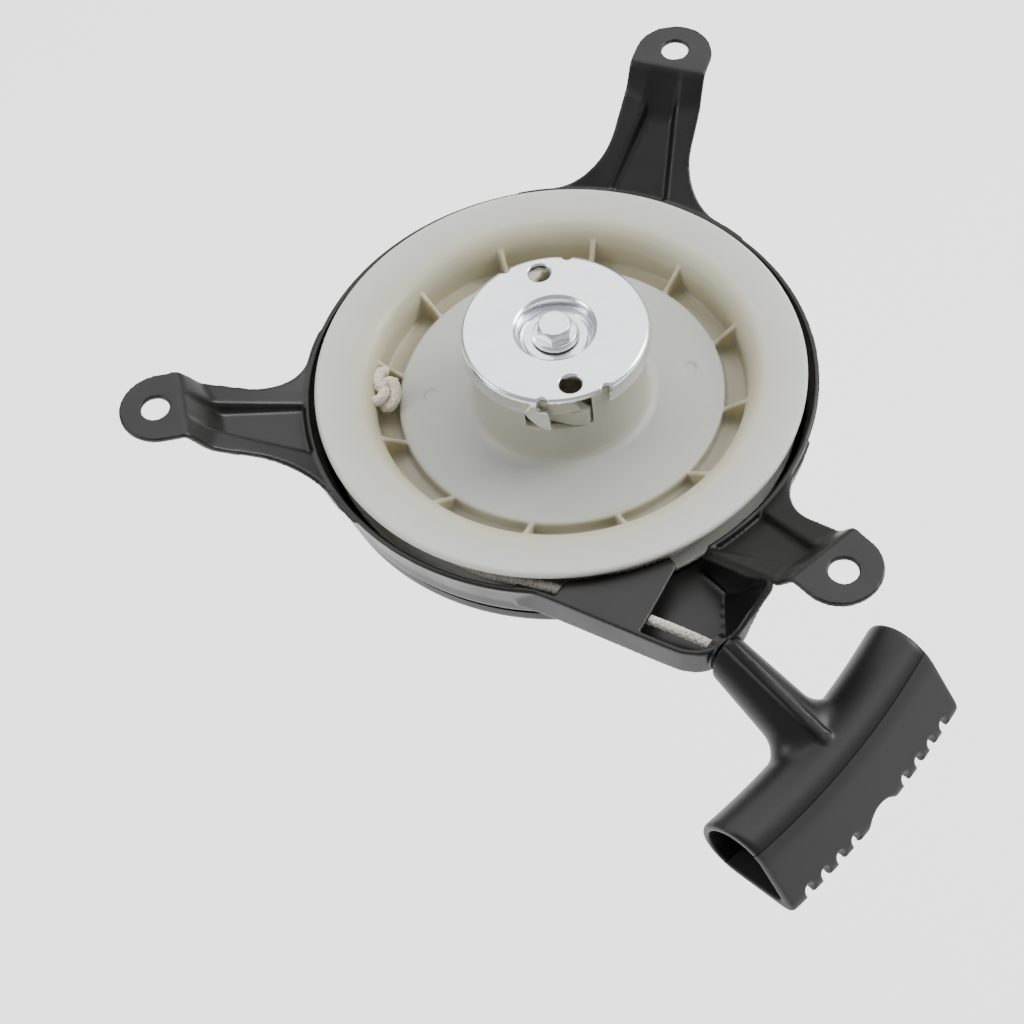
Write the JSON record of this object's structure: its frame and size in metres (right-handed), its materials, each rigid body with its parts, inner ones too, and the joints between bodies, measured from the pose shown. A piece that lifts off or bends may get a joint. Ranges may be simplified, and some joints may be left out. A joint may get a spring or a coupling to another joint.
{
  "type": "recoil starter",
  "caption": "Pull-cord starter: a pressed steel pan on splayed mounting arms, a rope reel with mainspring, spring-held pawls under a friction plate, and a hollow cross-bar grip.",
  "frame": {"origin": "on the crank axis, at the outer face of the back cover", "axes": "+Z along the crank axis towards the engine; +X across, so that the three mounting ears lie at 64.2, 184.2 and 304.2 degrees from +X; +Y completes the set, away from the grip"},
  "size_m": [0.2341, 0.2908, 0.0703],
  "materials": {
    "housing": "black semi-gloss paint",
    "back_cover": "black satin paint",
    "rope_guide": "black semi-gloss paint",
    "center_post": "satin",
    "thrust_washer": "satin",
    "mainspring": "blued spring steel",
    "spring_anchor_pin": "satin",
    "spring_cover": "zinc plated",
    "reel": "milky natural nylon",
    "reel_bushing": "satin",
    "rope_coil": "white braided nylon",
    "reel_knot": "white braided nylon",
    "rope_lead": "white braided nylon",
    "pawl_pins": "satin",
    "pawl_1": "milky nylon",
    "pawl_2": "milky nylon",
    "pawl_spring_1": "spring wire",
    "pawl_spring_2": "spring wire",
    "friction_spring": "spring steel",
    "friction_plate": "bright zinc plated",
    "plate_washer": "zinc plated",
    "lock_washer": "satin",
    "center_bolt": "zinc plated",
    "grip": "matte black",
    "grip_rope": "white braided nylon",
    "grip_washer": "zinc plated",
    "grip_knot": "white braided nylon"
  },
  "bodies": {
    "housing": {"housing": "housing", "back_cover": "back_cover", "rope_guide": "rope_guide", "center_post": "center_post", "thrust_washer": "thrust_washer", "mainspring": "mainspring", "rope_lead": "rope_lead", "plate_washer": "plate_washer", "lock_washer": "lock_washer", "center_bolt": "center_bolt"},
    "reel": {"reel": "reel", "reel_bushing": "reel_bushing", "rope_coil": "rope_coil", "reel_knot": "reel_knot", "spring_cover": "spring_cover", "spring_anchor_pin": "spring_anchor_pin", "pawl_pins": "pawl_pins", "pawl_spring_1": "pawl_spring_1", "pawl_spring_2": "pawl_spring_2", "friction_spring": "friction_spring"},
    "friction_plate": {"friction_plate": "friction_plate"},
    "pawl_1": {"pawl_1": "pawl_1"},
    "pawl_2": {"pawl_2": "pawl_2"},
    "grip": {"grip": "grip", "grip_rope": "grip_rope", "grip_washer": "grip_washer", "grip_knot": "grip_knot"}
  },
  "joints": [
    {"name": "reel_spin", "type": "hinge", "parent": "housing", "child": "reel", "pos_m": [0, 0, 0.018], "axis": [0, 0, 1], "range_deg": [0, 1080], "stiffness_Nm_per_rad": 0.06, "springref_deg": -687.55},
    {"name": "grip_pull", "type": "slide", "parent": "housing", "child": "grip", "axis": [0.5958, -0.5916, -0.5432], "range_m": [0, 1.17]},
    {"name": "plate_turn", "type": "hinge", "parent": "reel", "child": "friction_plate", "pos_m": [0, 0, 0.045], "axis": [0, 0, 1], "range_deg": [-30, 0], "stiffness_Nm_per_rad": 0.05, "springref_deg": 17.19},
    {"name": "pawl_swing_1", "type": "hinge", "parent": "reel", "child": "pawl_1", "pos_m": [-0.00954, -0.01526, 0.036], "axis": [0, 0, 1], "range_deg": [-30, 0]},
    {"name": "pawl_swing_2", "type": "hinge", "parent": "reel", "child": "pawl_2", "pos_m": [0.00954, 0.01526, 0.036], "axis": [0, 0, 1], "range_deg": [-30, 0]}
  ],
  "couplings": [
    {"joint": "grip_pull", "follows": "reel_spin", "m_per_rad": 0.0617},
    {"joint": "pawl_swing_1", "follows": "plate_turn", "ratio": 1},
    {"joint": "pawl_swing_2", "follows": "plate_turn", "ratio": 1}
  ]
}
